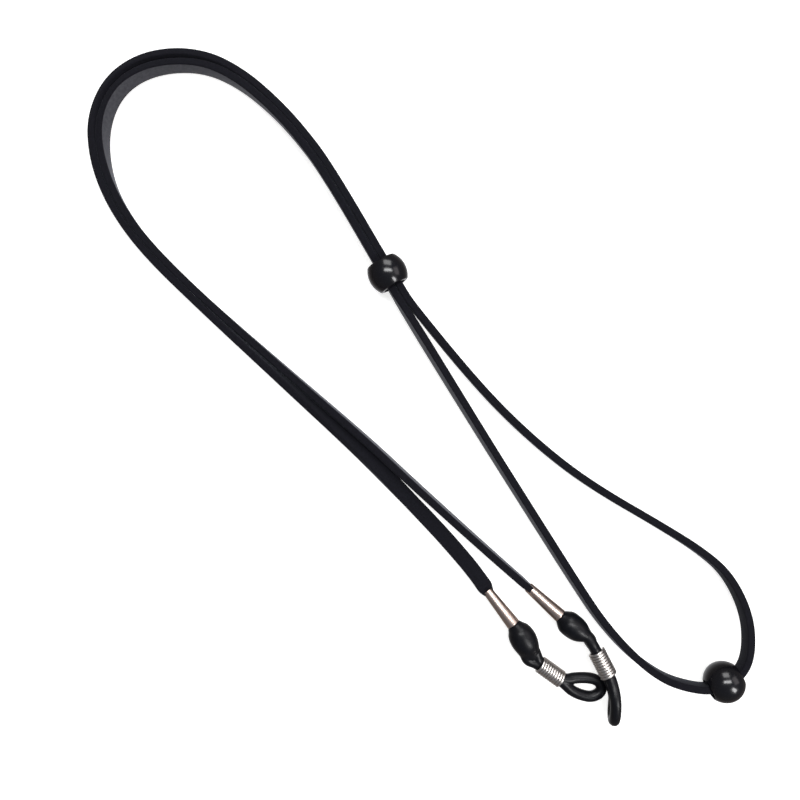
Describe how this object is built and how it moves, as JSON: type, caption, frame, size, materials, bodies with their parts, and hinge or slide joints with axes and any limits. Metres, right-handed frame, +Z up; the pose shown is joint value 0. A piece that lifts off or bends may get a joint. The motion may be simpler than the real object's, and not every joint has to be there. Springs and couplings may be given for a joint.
{
  "type": "eyeglasses strap",
  "caption": "Flat lace folded into a neck loop, with a sliding bead, a bead on its fold and a rubber loop with a coil spring at each end for the spectacle's temples.",
  "frame": {"origin": "centre of the laid-out strap's footprint, on the table it lies on", "axes": "+Z up from the table; +Y towards the top of the neck loop; +X to the right, towards the bead on the fold"},
  "size_m": [0.1348, 0.1375, 0.0082],
  "materials": {
    "lace": "matt suede-like",
    "bead": "high gloss",
    "ferrule": "polished nickel",
    "rubber": "satin",
    "spring": "bright drawn wire"
  },
  "bodies": {
    "strap": {"lace": "lace", "ferrule_a": "ferrule", "ferrule_b": "ferrule", "rubber_loop_a": "rubber", "rubber_loop_b": "rubber"},
    "slider": {"slider_bead": "bead"},
    "fold_bead": {"end_bead": "bead"},
    "coil_a": {"coil_spring_a": "spring"},
    "coil_b": {"coil_spring_b": "spring"}
  },
  "joints": [
    {"name": "slider_slide", "type": "slide", "parent": "strap", "child": "slider", "axis": [-0.5017, 0.865, 0], "range_m": [0, 0.016]},
    {"name": "end_bead_spin", "type": "hinge", "parent": "strap", "child": "fold_bead", "pos_m": [0.06125, -0.05947, 0.0041], "axis": [0.8863, 0.4631, 0], "continuous": true},
    {"name": "coil_a_slide", "type": "slide", "parent": "strap", "child": "coil_a", "axis": [0.811, -0.585, 0], "range_m": [0, 0.0025], "deforming": ["rubber_loop_a"]},
    {"name": "coil_b_slide", "type": "slide", "parent": "strap", "child": "coil_b", "axis": [0.4498, -0.8886, 0.0896], "range_m": [0, 0.0025], "deforming": ["rubber_loop_b"]}
  ]
}
